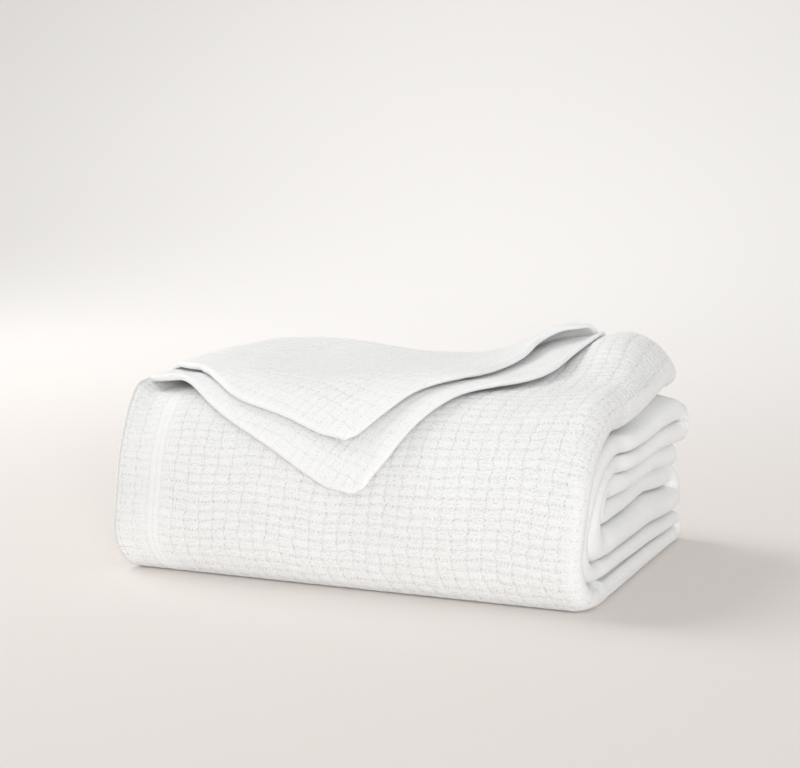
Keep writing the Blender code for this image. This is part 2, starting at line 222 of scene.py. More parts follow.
# ---- The stage, lights and camera ----
FLOOR_NEAR = -9.0
FLOOR_HALF_WIDE = 9.0
CURVE_AT = 1.2
CURVE_RADIUS = 2.6
WALL_TOP = 6.0
# The floor's colour near the bundle, and the lighter colour it turns to further back on the wall:
# painted light
FLOOR_COLOUR = (0.82, 0.775, 0.745, 1)
WALL_PAINTED_LIGHT_COLOUR = (0.88, 0.865, 0.85, 1)
WORLD_POWER = 0.63
Lamp = namedtuple("Lamp", "name place target size power spread")
LAMPS = (
    Lamp("key", (-1.6, 0.35, 1.6), (0, 0, 0.1), 1.4, 10.5, 120),
    Lamp("front", (2.3, -3.9, 0.8), (0, 0, 0.08), 1.4, 17.5, 80),
    Lamp("fill", (-2.2, -1.3, 0.7), (0, 0, 0.08), 0.9, 2, 180),
    Lamp("wall", (-0.6, 0.9, 2.2), (-1.0, 2.2, 0.4), 0.8, 6.5, 110),
)
CAMERA_AT = (0.5730, -1.4260, 0.3787)
CAMERA_ROUND = math.radians(22.2)
CAMERA_ABOVE = math.radians(9.09)


def mix(a, b, share):
    return a + (b - a) * share


def ease(share):
    """A share from 0 to 1 that starts and ends gently."""
    share = np.clip(share, 0.0, 1.0)
    return share * share * (3.0 - 2.0 * share)


def bump(value, middle, wide):
    return np.exp(-(((value - middle) / wide) ** 2))


def swelled(form, x, y):
    return form.height * bump(x, form.x, form.wide_x) * bump(y, form.y, form.wide_y)


def swelled_left(form, x, y):
    return form.height * bump(y, form.y, form.wide_y) * ease((form.begins - x) / form.over)


def curve_through(x, places, values):
    """A smooth curve through a table's values, level beyond its ends."""
    places, values = np.array(places), np.array(values)
    slopes = np.gradient(values, places)
    slopes[0] = slopes[-1] = 0.0
    x = np.clip(x, places[0], places[-1])
    i = np.clip(np.searchsorted(places, x) - 1, 0, len(places) - 2)
    wide = places[i + 1] - places[i]
    t = (x - places[i]) / wide
    start = values[i] * (1 + 2 * t) * (1 - t) ** 2 + slopes[i] * wide * t * (1 - t) ** 2
    end = values[i + 1] * t * t * (3 - 2 * t) + slopes[i + 1] * wide * t * t * (t - 1)
    return start + end


# ---- The folds ----
def stacked():
    """Each band with its middle height and its thickness, and the height of them all."""
    placed = {}
    floor = 0.0
    for band in reversed(BANDS):
        thick = band.rise - BAND_GAP
        placed[band.name] = (band, floor + thick / 2, thick)
        floor += band.rise
    return placed, floor


STACK, STACK_TOP = stacked()


def line_point(index, turn):
    """A point (y, z) of a line round the front, from a quarter turn at its top down to
    minus a quarter turn at its foot."""
    line = LINES[index]
    top, foot = STACK_TOP - BAND_GAP / 2, 0.0
    if line.over:
        top = STACK[line.over][1] - STACK[line.over][2] / 2 - BAND_GAP / 2
        foot = STACK[line.under][1] + STACK[line.under][2] / 2 + BAND_GAP / 2
    belly = min(max(line.belly, foot), top)
    reach = line.upper_reach if turn > 0 else line.lower_reach
    height = top - belly if turn > 0 else belly - foot
    return FRONT + line.front + reach * (1 - math.cos(turn)), belly + height * math.sin(turn)


def run(name, start, end, steps=40):
    """A band's straight part, as rows of y, z, the way out of the strip in y and z, its
    thickness, and its right and left ends."""
    band, middle, thick = STACK[name]
    up = 1.0 if end < start else -1.0
    rows = []
    for share in np.linspace(0, 1, steps):
        y = mix(start, end, share)
        back = (y - FRONT) / (BACK - FRONT)
        right = RIGHT + mix(band.right_front, band.right_back, back)
        left = LEFT - mix(band.left_front, band.left_back, back)
        rows.append((y, middle, 0.0, up, thick, right, left))
    return rows


def nose(key, going_down, steps=60):
    """A fold at the front, as such rows."""
    upper, lower = STACK[NOSES[key].upper][0], STACK[NOSES[key].lower][0]
    index = "ABCD".index(key)
    side = 1.0 if going_down else -1.0
    rows = []
    for turn in np.linspace(1, -1, steps):
        outer = line_point(index, math.pi / 2 * turn)
        inner = line_point(index + 1, math.pi / 2 * turn)
        apart = math.dist(outer, inner)
        band = upper if turn > 0 else lower
        round_off = math.cos(turn * math.pi / 2)
        rows.append(
            (
                (outer[0] + inner[0]) / 2,
                (outer[1] + inner[1]) / 2,
                side * (outer[0] - inner[0]) / apart,
                side * (outer[1] - inner[1]) / apart,
                apart - BAND_GAP,
                RIGHT + mix(band.right_front, NOSES[key].right_middle, 1 - abs(turn)),
                LEFT - mix(band.left_front, NOSES[key].left_middle, round_off),
            )
        )
    return rows if going_down else rows[::-1]


def turn_back(start, end, going_up, steps=16):
    """A fold at the back from one band into the next, as such rows."""
    first, first_middle, first_thick = STACK[start]
    last, last_middle, last_thick = STACK[end]
    side = 1.0 if going_up else -1.0
    gap = (first_middle + last_middle + (first_thick - last_thick) / 2 * side) / 2
    rows = []
    for i in range(1, steps):
        share = i / steps
        angle = side * math.pi * (share - 0.5)
        thick = mix(first_thick, last_thick, share)
        radius = (thick + BAND_GAP) / 2
        rows.append(
            (
                back_of(start) + radius * math.cos(angle),
                gap + radius * math.sin(angle),
                side * math.cos(angle),
                side * math.sin(angle),
                thick,
                RIGHT + mix(first.right_back, last.right_back, share),
                LEFT - mix(first.left_back, last.left_back, share),
            )
        )
    return rows


def back_of(name):
    """Where a band starts to turn at the back."""
    return BACK - TURN_ROOM - TURN_SHORT[name]


def nose_start(name):
    """Where a band's straight part ends, clear of its fold at the front."""
    place = [band.name for band in BANDS].index(name)
    index = min(place, 7 - place)
    ends = [line.front + (line.upper_reach if place < 4 else line.lower_reach) for line in LINES]
    return FRONT + max(ends[index : index + 2]) + NOSE_CLEAR


def outer_route():
    """The band that shows: along the top, round the front and in under the bundle."""
    rows = run("one", BACK - FIRST_END, nose_start("one")) + nose("A", True)
    return np.array(rows + run("eight", nose_start("eight"), SEAM))


def inner_route():
    """The rest of the strip, from under the bundle to its end in band four."""
    rows = run("eight", SEAM - SEAM_LAP, back_of("eight")) + turn_back("eight", "seven", True)
    rows += run("seven", back_of("eight"), nose_start("seven")) + nose("B", False)
    rows += run("two", nose_start("two"), back_of("two")) + turn_back("two", "three", False)
    rows += run("three", back_of("two"), nose_start("three")) + nose("C", True)
    rows += run("six", nose_start("six"), back_of("six")) + turn_back("six", "five", True)
    rows += run("five", back_of("six"), nose_start("five")) + nose("D", False)
    return np.array(rows + run("four", nose_start("four"), BACK - LAST_END))


def along(points):
    """The length of a line up to each of its points."""
    steps = np.linalg.norm(np.diff(points, axis=0), axis=1)
    return np.concatenate([[0.0], np.cumsum(steps)])


def route_lengths(rows):
    """The length of a route's outer side up to each of its rows."""
    return along(rows[:, :2] + rows[:, 2:4] * rows[:, 4:5] / 2)


def columns_at(places, known, rows):
    return np.stack([np.interp(places, known, column) for column in rows.T], axis=1)


def sampled(rows, places, step=0.0005, each_side=7):
    """The rows of a route read at these places along it, with a little smoothing."""
    lengths = route_lengths(rows)
    lengths = lengths + np.arange(len(lengths)) * 1e-9
    even = np.arange(0, lengths[-1] + step, step)
    table = columns_at(even, lengths, rows)
    window = np.hanning(2 * each_side + 1)
    window /= window.sum()
    for i in range(table.shape[1]):
        padded = np.pad(table[:, i], each_side, mode="edge")
        table[:, i] = np.convolve(padded, window, mode="valid")
    out = columns_at(places, even, table)
    out[:, 2:4] /= np.linalg.norm(out[:, 2:4], axis=1, keepdims=True)
    return out


def spaced(length, gap, end=0.004):
    """Even places along a length, closer together at both of its ends."""
    inside = np.linspace(end, length - end, max(3, int((length - 2 * end) / gap)))
    return np.concatenate([RIM, inside, length - RIM[::-1]])


def paced(rows, straight, turned):
    """Places along a route, this far apart where it is straight and closer where it turns."""
    lengths = route_lengths(rows)
    angles = np.unwrap(np.arctan2(rows[:, 3], rows[:, 2]))
    costs = np.diff(lengths) / straight + np.abs(np.diff(angles)) / turned
    cost = np.concatenate([[0.0], np.cumsum(costs)])
    cost = cost + np.arange(len(cost)) * 1e-7
    places = np.interp(np.linspace(0, cost[-1], int(cost[-1]) + 1), cost, lengths)
    inside = places[(places > 0.004) & (places < lengths[-1] - 0.004)]
    return np.concatenate([RIM, inside, lengths[-1] - RIM[::-1]])


def across(gap, opens, closes):
    """Shares across a ply: even for a fine one, else close together only near its ends."""
    if gap > 0.003:
        near = np.arange(gap, 0.05, gap)
        middle = np.linspace(0.06, PLY_WIDE - 0.06, 9)
        inside = np.concatenate([near, middle, PLY_WIDE - near[::-1]])
    else:
        inside = np.arange(gap, PLY_WIDE - gap / 2, gap)
    first = RIM if opens else RIM[:1]
    last = PLY_WIDE - (RIM if closes else RIM[:1])[::-1]
    return np.concatenate([first, inside, last]) / PLY_WIDE


def section(at, pieces, gap):
    """Points across the cloth for each row: x, height in the band, the way out of the
    cloth, its thickness, and the distance from its first edge. The pieces are the plies a,
    d, c and b from the outside in, the outer and inner folds O and I at the right, and the
    fold L at the left."""
    thick, right, left = at[:, 4:5], at[:, 5:6], at[:, 6:7]
    ply = np.minimum(PLY, (thick - 3 * PLY_GAP) / 4)
    apart = (thick - 4 * ply) / 3
    outer, inner = (thick - ply) / 2, (ply + apart) / 2
    bend, hem = right - thick / 2, left + HEM_IN
    fold = left + inner + ply / 2
    got = []
    for piece in pieces:
        if piece in "adcb":
            t = across(gap, piece == "a", piece == "b")[None, :]
            start, end, n, way = {
                "a": (hem, bend, outer, 1.0),
                "d": (bend, fold, -outer, -1.0),
                "c": (fold, bend, -inner, 1.0),
                "b": (bend, left, inner, -1.0),
            }[piece]
            x = mix(start, end, t)
            got.append((x, n + 0 * x, 0 * x, way + 0 * x))
        else:
            first, last, side = {"O": (90, -90, 1), "L": (-90, -270, 1), "I": (-90, 90, -1)}[piece]
            radius = {"O": outer, "L": (outer - inner) / 2, "I": inner}[piece]
            steps = max(7, int(math.pi * float(radius.max()) / gap))
            angle = np.radians(np.linspace(first, last, steps + 2))[None, 1:-1]
            middle = fold if piece == "L" else bend
            height = -(outer + inner) / 2 if piece == "L" else 0.0
            x, n = np.cos(angle), np.sin(angle)
            nx, nn = side * x + 0 * radius, side * n + 0 * radius
            got.append((middle + radius * x, height + radius * n, nx, nn))
    x, n, nx, nn = (np.concatenate([g[i] for g in got], axis=1) for i in range(4))
    steps = np.hypot(np.diff(x, axis=1), np.diff(n, axis=1))
    wide = np.concatenate([0 * x[:, :1], np.cumsum(steps, axis=1)], axis=1)
    return x, n, nx, nn, ply + 0 * x, wide


def rounded(distance, ply):
    """How much of its half thickness a sheet has this far from its edge."""
    radius = ply * 0.55
    inside = np.clip(distance / radius, 0.0, 1.0)
    return np.sqrt(np.clip(1 - (1 - inside) ** 2, 0.02, 1.0))


def layer(route, places, pieces, gap, open_start=True, open_end=True, begins=True, stops=True):
    """Both faces of the plies named in pieces, before settling, with widths and lengths.
    The sheet is rounded off at the edges where it opens, begins or stops."""
    at = sampled(route, places)
    x, n, nx, nn, ply, wide = section(at, pieces, gap)
    total = wide[:, -1:]
    half = ply / 2 * rounded(wide, ply) if open_start else ply / 2
    if open_end:
        half = half * rounded(total - wide, ply)
    if begins:
        half = half * rounded((places - places[0])[:, None], ply)
    if stops:
        half = half * rounded((places[-1] - places)[:, None], ply)
    faces = []
    for side in (1.0, -1.0):
        face_n = n + side * half * nn
        y = at[:, 0:1] + at[:, 2:3] * face_n
        z = at[:, 1:2] + at[:, 3:4] * face_n
        faces.append(np.stack([x + side * half * nx, y, z], axis=2))
    return faces[0], faces[1], wide, np.repeat(places[:, None], x.shape[1], axis=1)


# ---- Settling ----
def settle(points, stack=True):
    """Moves points of the squared-up stack to where the soft bundle has settled."""
    x, y, z = points[..., 0], points[..., 1], points[..., 2]
    places = [row.x for row in SETTLED]
    front = curve_through(x, places, [row.front for row in SETTLED])
    back = curve_through(x, places, [row.back for row in SETTLED])
    shoulder = curve_through(x, places, [row.shoulder for row in SETTLED])
    reach = LINES[0].upper_reach
    rising = np.clip((y - FRONT) / reach, 0.0, 1.0)
    fading = np.clip((BACK - y) / (BACK - FRONT - reach), 0.0, 1.0)
    free = ease((z - 0.030) / 0.050)
    moved_y = y + shoulder * rising * fading * free
    moved_z = z * (1 + mix(front, back, ease((y - DIP) / (CREST - DIP))))
    sag = SAG * ease((x - 0.10) / 0.08) * ease((y - 0.02) / 0.08) * np.clip(z / 0.050, 0.0, 1.0)
    moved_z = moved_z - sag * np.clip((0.160 - z) / 0.100, 0.0, 1.0)
    # The top band droops at its right end
    droop = ease((x - 0.148) / 0.044) * ease((z - 0.112) / 0.040) * ease((y + 0.02) / 0.08)
    moved_z = moved_z - DROOP * droop
    # The swells are at the top alone
    on_top = ease((z - 0.09) / 0.03)
    moved_z = moved_z + swelled_left(SHOULDER if stack else FLAP_SHOULDER, x, y) * on_top
    moved_z = moved_z + swelled(RIGHT_CREST, x, y) * on_top
    if stack:
        moved_z = moved_z - swelled_left(ROUNDING, x, y) * on_top
        moved_z = moved_z - swelled(VALLEY, x, y) * on_top
    return soften(np.stack([x, moved_y, moved_z], axis=-1)) - CENTRE


def soften(points):
    """The slow unevenness of a soft stack: everything nearby moves together."""
    x, y, z = points[..., 0], points[..., 1], points[..., 2]
    lifted = ease(z / 0.03)
    moves = [
        sum(w.size * np.sin(w.by_x * x + w.by_y * y + w.by_z * z + w.phase) for w in waves)
        for waves in WAVES
    ]
    return points + np.stack(moves, axis=-1) * lifted[..., None]


def normals_of(grid):
    """The normals of a grid of points, toward the side that its order of points gives."""
    along_rows = np.gradient(grid, axis=0)
    along_columns = np.gradient(grid, axis=1)
    n = np.cross(along_columns, along_rows)
    size = np.linalg.norm(n, axis=2, keepdims=True)
    return n / np.maximum(size, 1e-12)


# ---- The crocheted relief ----
def hashed(i, j, seed=0.0):
    """A value from 0 to 1 that is fixed for each cell."""
    value = np.sin(i * 12.9898 + j * 78.233 + seed * 37.719) * 43758.5453
    return value - np.floor(value)


def wandered(u, v):
    """Cell places after the columns' wavy lines and the stitches' unevenness."""
    wave = 0.5 + 0.5 * np.cos(np.pi * np.round(u))
    u2 = u + mix(0.02, 0.06, wave) * np.sin(np.pi * v + 1.7 * np.sin(0.9 * np.round(u)))
    u2 = u2 + 0.04 * np.sin(1.7 * u + 0.9 * v) + 0.03 * np.sin(0.6 * u - 2.3 * v)
    v2 = v + 0.05 * np.sin(1.3 * u + 0.4 * v) + 0.04 * np.sin(0.5 * v - 2.1 * u)
    return u2, v2


def relief(u, v):
    """The height of the crochet at wandered cell places, from about -1 to 0.2."""
    iu, iv = np.floor(u), np.floor(v)
    fu, fv = u - iu, v - iv
    du, dv = np.minimum(fu, 1 - fu), np.minimum(fv, 1 - fv)
    column = bump(du, 0.0, 0.10) * mix(0.3, 1.0, hashed(iu, np.round(v), 5.0))
    row = bump(dv, 0.0, 0.15) * mix(0.3, 1.0, hashed(np.round(u), iv, 7.0))
    crown = 0.40 * np.sin(np.pi * fu) * np.sin(np.pi * fv) * mix(0.3, 1.0, hashed(iu, iv))
    corner = 0.25 * bump(du, 0.0, 0.13) * bump(dv, 0.0, 0.2)
    return crown - 0.15 - 0.35 * column - 0.40 * row - corner


# ---- Meshes ----
def shares_of(line):
    """The share of a line's length up to each of its points."""
    lengths = along(line)
    return lengths / lengths[-1]


def zipped(first, last, points):
    """Triangles that join two lines of vertices side by side, matched by length."""
    shares = shares_of(points[first]), shares_of(points[last])
    made = []
    i = j = 0
    while i < len(first) - 1 or j < len(last) - 1:
        next_i = shares[0][i + 1] if i < len(first) - 1 else 2.0
        next_j = shares[1][j + 1] if j < len(last) - 1 else 2.0
        if next_i <= next_j:
            made.append((first[i], first[i + 1], last[j]))
            i += 1
        else:
            made.append((first[i], last[j + 1], last[j]))
            j += 1
    return made


def nearest(outer, inner):
    """For each point of the inner line, the outer line's at the same share of its length."""
    return np.abs(shares_of(outer)[None, :] - shares_of(inner)[:, None]).argmin(axis=1)


def closed(outer, inner, cells, crisp, start, hem=None):
    """A closed sheet from an outer and an inner grid, each of its own fineness: its points,
    its faces with vertices counted from start, and the points' cells, crispness and
    distances from the hem."""
    (R, C), (r, c) = outer.shape[:2], inner.shape[:2]
    points = np.concatenate([outer.reshape(-1, 3), inner.reshape(-1, 3)])
    top = np.arange(R * C).reshape(R, C)
    low = R * C + np.arange(r * c).reshape(r, c)
    faces = []
    for grid, flip in ((top, False), (low, True)):
        quads = [grid[:-1, :-1], grid[:-1, 1:], grid[1:, 1:], grid[1:, :-1]]
        quads = np.stack(quads, axis=-1).reshape(-1, 4)
        faces += (quads[:, ::-1] if flip else quads).tolist()
    for sides in ((0, slice(None)), (-1, slice(None)), (slice(None), 0), (slice(None), -1)):
        faces += zipped(top[sides].tolist(), low[sides].tolist(), points)
    rows = nearest(outer[:, C // 2], inner[:, c // 2])
    columns = nearest(outer[R // 2], inner[r // 2])
    below = cells[np.ix_(rows, columns)].reshape(-1, 2)
    plain = np.zeros(r * c)
    from_hem = np.zeros(R * C) if hem is None else hem.ravel()
    return (
        points,
        [[start + i for i in face] for face in faces],
        np.concatenate([cells.reshape(-1, 2), below]),
        np.concatenate([crisp.ravel(), plain]),
        np.concatenate([from_hem, plain]),
    )


def sheet(name, parts, material):
    """One piece made of closed sheets, each from (outer, inner, cells, crisp), and the one
    with the hem from its distances from it too."""
    made, start = [], 0
    for outer, inner, cells, crisp, *hem in parts:
        made.append(closed(outer, inner, cells, crisp, start, *hem))
        start += len(made[-1][0])
    points, cells, crisp, hems = (np.concatenate([m[i] for m in made]) for i in (0, 2, 3, 4))
    faces = [face for m in made for face in m[1]]
    mesh = bpy.data.meshes.new(name)
    mesh.from_pydata(points.tolist(), [], faces)
    loops = np.empty(len(mesh.loops), dtype=np.int32)
    mesh.loops.foreach_get("vertex_index", loops)
    uv = mesh.uv_layers.new(name="cells")
    uv.data.foreach_set("uv", cells[loops].astype(np.float32).ravel())
    for label, values in (("crisp", crisp), ("from_hem", hems)):
        attribute = mesh.attributes.new(label, "FLOAT", "POINT")
        attribute.data.foreach_set("value", values.astype(np.float32))
    shape = bmesh.new()
    shape.from_mesh(mesh)
    bmesh.ops.recalc_face_normals(shape, faces=shape.faces[:])
    for edge in shape.edges:
        if len(edge.link_faces) == 2 and edge.calc_face_angle() > SHARP:
            edge.smooth = False
    shape.to_mesh(mesh)
    shape.free()
    mesh.shade_smooth()
    mesh.materials.append(material)
    piece = bpy.data.objects.new(name, mesh)
    bpy.context.scene.collection.objects.link(piece)
    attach(piece, "root")
    print(name, sum(len(face) - 2 for face in faces), "triangles")
    return piece


def raised(grid, heights):
    """The grid with the relief of these heights on its outer side."""
    n = normals_of(grid)
    r, c = grid.shape[0] // 2, grid.shape[1] // 3
    inside = np.array([0.0, 0.0, 0.07])
    outward = 1.0 if np.dot(n[r, c], grid[r, c] - inside) >= 0 else -1.0
    return grid + n * (outward * heights * RELIEF)[..., None]


# ---- Pieces of the folded strip ----
def front_panel(material):
    """The ply that shows, over the top, round the front and in under the bundle."""
    route = outer_route()
    total = route_lengths(route)[-1]
    under_flap = np.arange(0.004, SHOWN_FROM - 0.001, 0.0024)
    shown = np.arange(SHOWN_FROM, SHOWN_TO - 0.001, FINE)
    places = np.concatenate([RIM, under_flap, shown, np.linspace(SHOWN_TO, total, 22)])
    outer, _, wide, lengths = layer(route, places, "aO", FINE, open_end=False, stops=False)
    coarse = np.concatenate([RIM[::2], np.arange(0.006, total - 0.004, COARSE), [total]])
    _, inner, _, _ = layer(route, coarse, "aO", COARSE, open_end=False, stops=False)
    outer, inner = settle(outer), settle(inner)
    u, v = wandered((wide + 0.002) / CELL_WIDE, lengths / CELL_HIGH)
    high = relief(u, v)
    crisp = np.ones_like(high)
    # The border left of the rib is flatter, and the rib is raised cords
    border = 1 - ease((wide - RIB_AT) / 0.002)
    high = mix(high, high * 0.6, border)
    cords = sum(bump(wide, RIB_AT + cord, 0.0019) for cord in RIB_CORDS)
    on_rib = np.clip(bump(wide, RIB_AT + RIB_MIDDLE, 0.0064) * 1.4, 0, 1)
    twist = 0.18 * np.sin(2 * np.pi * (lengths / 0.0042 + 2.0 * wide / 0.004))
    high = mix(high, -0.50 + (0.7 + twist) * cords, on_rib)
    crisp = crisp * (1 - 0.75 * on_rib) * mix(1.0, 0.85, border)
    # The cells fade out on the fold at the right, sooner on the front than on the top
    on_front = ease((lengths - 0.15) / 0.06)
    fold_wide = wide[:, -1:] - math.pi * mix(0.016, 0.0065, on_front)
    starts = fold_wide - mix(-0.014, 0.008, on_front)
    at_fold = ease((wide - starts) / 0.014)
    high = mix(high, -0.12 + 0.35 * high, at_fold) * mix(2.1, 1.0, on_front)
    crisp = crisp * (1 - 0.45 * at_fold)
    edge = np.clip((np.minimum(wide, lengths) - 0.001) / 0.004, 0, 1)
    # Towards the seam the panel turns as plain as the layers that go on from there
    plain = np.clip((total - lengths) / 0.02, 0, 1)
    high, crisp = high * edge * plain, crisp * edge * mix(HIDDEN_CRISP, 1.0, plain)
    outer = raised(outer, high)
    outer[..., 2] = np.maximum(outer[..., 2], 0.0)
    inner[..., 2] = np.maximum(inner[..., 2], 0.0006)
    cells = np.stack([u, v], axis=2)
    return sheet("front_panel", [(outer, inner, cells, crisp, wide)], material)


def hidden_layers(route, pieces):
    """The plies under the panel, of one fineness on both faces."""
    places = paced(route, HIDDEN_STEP, HIDDEN_TURN)
    # The strip's first end is the route's without ply a, and its last end the other's
    last = "a" in pieces
    outer, inner, wide, lengths = layer(
        route, places, pieces, COARSE, open_start=last, begins=not last, stops=last
    )
    cells = np.stack([wide / CELL_WIDE, lengths / CELL_HIGH], axis=2)
    outer, inner = settle(outer), settle(inner)
    for face in (outer, inner):
        face[..., 2] = np.maximum(face[..., 2], 0.0)
    return outer, inner, cells, np.full(outer.shape[:2], HIDDEN_CRISP)


# ---- The flap ----
def wrap_route():
    """The flap's way out of band four, up the back and over the top and front, as rows of
    y, z and the way out of it. The second value is the row where it reaches the front."""
    _, middle, thick = STACK["four"]
    inside = middle + thick / 4
    core_y, core_z = WRAP_CORE
    over_y, over_z = TOP_CORE
    top = STACK_TOP + FLAP_GAP + FLAP_PLY / 2
    line = [(mix(BACK - LAST_END + 0.002, core_y, s), inside, 0.0, -1.0) for s in (0.0, 0.5)]
    for share in np.linspace(0, 1, 24):
        angle = math.pi / 2 * (share - 1)
        radius = mix(core_z - inside, WRAP_SIDE - core_y, share)
        y, z = math.cos(angle), math.sin(angle)
        line.append((core_y + radius * y, core_z + radius * z, y, z))
    for share in np.linspace(0, 1, 24):
        angle = math.pi / 2 * share
        y, z = math.cos(angle), math.sin(angle)
        line.append((over_y + (WRAP_SIDE - over_y) * y, over_z + (top - over_z) * z, y, z))
    start = line_point(0, math.pi / 2)[0]
    line += [(mix(over_y, start, s), top, 0.0, 1.0) for s in np.linspace(0.05, 1, 20)]
    front_line = len(line) - 1
    for turn in np.linspace(math.pi / 2, 0, 60)[1:]:
        y, z = line_point(0, turn)
        ny = -math.cos(turn) * (STACK_TOP - LINES[0].belly)
        nz = math.sin(turn) * LINES[0].upper_reach
        size = math.hypot(ny, nz)
        away = FLAP_GAP + FLAP_PLY / 2
        line.append((y + ny / size * away, z + nz / size * away, ny / size, nz / size))
    return np.array(line), front_line


def flap_lift(x, y, upper):
    """How far a ply of the flap stands off the stack."""
    bridge, low = swelled(BRIDGE, x, y), swelled(LOW, x, y)
    curl = swelled(CURL, x, y) * (1 - ease((x - CURL.x) / 0.018))
    return bridge + curl - 0.5 * low if upper else bridge - low


def flap(ply, material):
    """One ply of the flap, from inside the stack to its tip on the front."""
    upper = ply == "upper"
    line, front_line = wrap_route()
    lengths = along(line[:, :2])
    tip = lengths[front_line] + DROPS[ply]
    edges = EDGES[ply]
    aboves = [row.above for row in edges]

    def faces(gap):
        places = np.concatenate([np.arange(0.0005, tip - 0.006, gap), tip - TIP_RIM])
        above = tip - places
        left = curve_through(above, aboves, [row.left for row in edges])
        right = curve_through(above, aboves, [row.right for row in edges])
        t = spaced(FLAP_WIDE, gap)[None, :] / FLAP_WIDE
        x = mix(left[:, None], right[:, None], t)
        y, z, ny, nz = (np.interp(places, lengths, line[:, i])[:, None] for i in range(4))
        size = np.hypot(ny, nz)
        ny, nz = ny / size, nz / size
        hidden = ease((WRAP_SIDE - y) / 0.02) * (z < STACK["three"][1])
        thick = mix(FLAP_PLY, HIDDEN_PLY, hidden)
        # Its ends taper: the right one at the back, the upper ply's also at the left
        ends = 0.45 * ease((x - 0.085) / 0.035) * ease(y / 0.06)
        if upper:
            ends = ends + 0.35 * ease((-0.165 - x) / 0.02)
        thick = thick * (1 - ends * ease(nz / 0.4))
        lift = flap_lift(x, y, upper) * ease(nz / 0.4)
        if upper:
            # Its left end comes down on the lower ply's, like the fold that joins them
            folded = ease((above[:, None] - 0.112) / 0.02) * (1 - ease((x - LEFT) / 0.024))
            on_lower = FLAP_PLY + FLAP_GAP - 0.0055 * folded
            lift = lift + mix(on_lower, STACK["four"][2] / 2, hidden)
        # The distance from the nearest edge, square to it
        near_left = (x - left[:, None]) / np.hypot(1, np.gradient(left, above)[:, None])
        near_right = (right[:, None] - x) / np.hypot(1, np.gradient(right, above)[:, None])
        near = np.minimum(np.minimum(near_left, near_right), above[:, None] + 0.0002)
        half = thick / 2 * rounded(near, thick)
        # Its left end bends down over the stack's shoulder
        bent = (0.010 if upper else 0.006) * ease((-0.170 - x) / 0.020)
        out = []
        for side in (1.0, -1.0):
            n = lift + side * half
            out.append(np.stack([x, y + ny * n, z + nz * n - bent], axis=2))
        return out, x, above[:, None] + 0 * x, near

    (outer, _), x, above, near = faces(FLAP_STEPS[ply])
    (_, inner), _, _, _ = faces(COARSE)
    outer, inner = settle(outer, False), settle(inner, False)
    apex = (edges[0].left + edges[0].right) / 2
    along_right = (x - apex) * math.sin(ARM) + above * math.cos(ARM)
    along_left = -(x - apex) * math.cos(ARM) + above * math.sin(ARM)
    u, v = wandered(along_right / CELL_WIDE, along_left / CELL_HIGH)
    high = relief(u, v)
    # Near its edges the flap is flatter and smoother
    border = 1 - ease((near - 0.024) / 0.014)
    high = mix(high * 0.8, high * 0.4, border) * np.clip(near / 0.004, 0, 1)
    crisp = mix(0.95, 0.65, border) * np.clip(near / 0.006, 0.5, 1)
    outer = raised(outer, high)
    cells = np.stack([u, v], axis=2)
    return sheet("flap_" + ply, [(outer, inner, cells, crisp)], material)


# ---- Material ----
class Maths:
    """A node socket that can be written in a formula."""

    def __init__(self, tree, socket):
        self.tree, self.socket = tree, socket

    def made(self, operation, *others, clamp=False):
        node = self.tree.nodes.new("ShaderNodeMath")
        node.operation = operation
        node.use_clamp = clamp
        self.tree.links.new(self.socket, node.inputs[0])
        for i, other in enumerate(others, 1):
            if isinstance(other, Maths):
                self.tree.links.new(other.socket, node.inputs[i])
            else:
                node.inputs[i].default_value = other
        return Maths(self.tree, node.outputs[0])

    def __add__(self, other):
        return self.made("ADD", other)

    def __sub__(self, other):
        return self.made("SUBTRACT", other)

    def __mul__(self, other):
        return self.made("MULTIPLY", other)

    def __pow__(self, other):
        return self.made("POWER", other)

    def floor(self):
        return self.made("FLOOR")

    def abs(self):
        return self.made("ABSOLUTE")

    def from_line(self):
        """The distance to the nearest whole number."""
        return self.made("PINGPONG", 0.5)

    def within(self, width):
        """1 at zero, falling to 0 at this width."""
        node = self.tree.nodes.new("ShaderNodeMapRange")
        node.interpolation_type = "SMOOTHSTEP"
        for i, value in enumerate((0.0, width, 1.0, 0.0), 1):
            node.inputs[i].default_value = value
        self.tree.links.new(self.socket, node.inputs[0])
        return Maths(self.tree, node.outputs[0])


def joined(tree, x, y):
    node = tree.nodes.new("ShaderNodeCombineXYZ")
    tree.links.new(x.socket, node.inputs[0])
    tree.links.new(y.socket, node.inputs[1])
    return node.outputs[0]


def noise(tree, place, scale, detail, rough):
    node = tree.nodes.new("ShaderNodeTexNoise")
    node.inputs["Scale"].default_value = scale
    node.inputs["Detail"].default_value = detail
    node.inputs["Roughness"].default_value = rough
    tree.links.new(place, node.inputs["Vector"])
    return Maths(tree, node.outputs[0])


def attribute(tree, name):
    node = tree.nodes.new("ShaderNodeAttribute")
    node.attribute_name = name
    return Maths(tree, node.outputs["Fac"])


def chance(tree, x, y):
    """A fixed value from 0 to 1 for each cell."""
    node = tree.nodes.new("ShaderNodeTexWhiteNoise")
    node.noise_dimensions = "2D"
    tree.links.new(joined(tree, x, y), node.inputs["Vector"])
    return Maths(tree, node.outputs["Value"])


